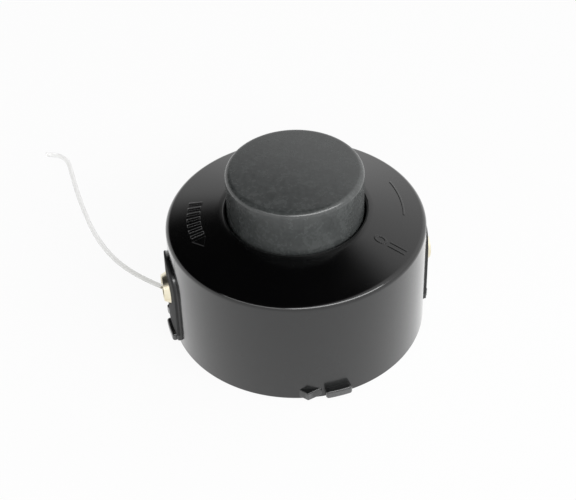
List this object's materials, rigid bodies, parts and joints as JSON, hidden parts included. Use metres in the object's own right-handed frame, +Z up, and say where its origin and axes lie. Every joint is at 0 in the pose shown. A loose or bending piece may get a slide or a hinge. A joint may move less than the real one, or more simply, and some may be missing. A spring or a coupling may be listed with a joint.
{
  "type": "trimmer head",
  "caption": "Round bump-feed line cassette: a moulded cup with a press knob, brass-lined line outlets and bayonet lugs, holding a ratcheted reel of nylon line.",
  "frame": {"origin": "centre of the cup's mouth, on the plane of its bottom rim", "axes": "+Z up along the cup's axis through the press knob; -Y towards the picture's front, where one set of lug and detent faces the viewer"},
  "size_m": [0.13, 0.1062, 0.0569],
  "materials": {
    "housing_plastic": "polished moulding",
    "knob_plastic": "fine eroded texture",
    "reel_plastic": "plain moulding",
    "nylon_line": "drawn nylon",
    "eyelet_brass": "pressed",
    "spring_steel": "zinc plated"
  },
  "bodies": {
    "housing": {"spool_housing": "housing_plastic", "bottom_cover": "housing_plastic", "outlet_eyelet_left": "eyelet_brass", "outlet_eyelet_right": "eyelet_brass", "compression_spring": "spring_steel", "cutting_line": "nylon_line"},
    "washer": {"thrust_washer": "spring_steel"},
    "reel": {"spool": "reel_plastic", "line_winding": "nylon_line", "bump_knob": "knob_plastic"}
  },
  "joints": [
    {"name": "bump_press", "type": "slide", "parent": "housing", "child": "washer", "axis": [0, 0, -1], "range_m": [0, 0.006], "stiffness_N_per_m": 1000, "springref_m": -0.008, "deforming": ["compression_spring"]},
    {"name": "line_feed", "type": "hinge", "parent": "washer", "child": "reel", "pos_m": [0, 0, 0], "axis": [0, 0, 1], "range_deg": [-22.6, 0]}
  ],
  "couplings": [
    {"joint": "line_feed", "follows": "bump_press", "rad_per_m": -65.44}
  ]
}
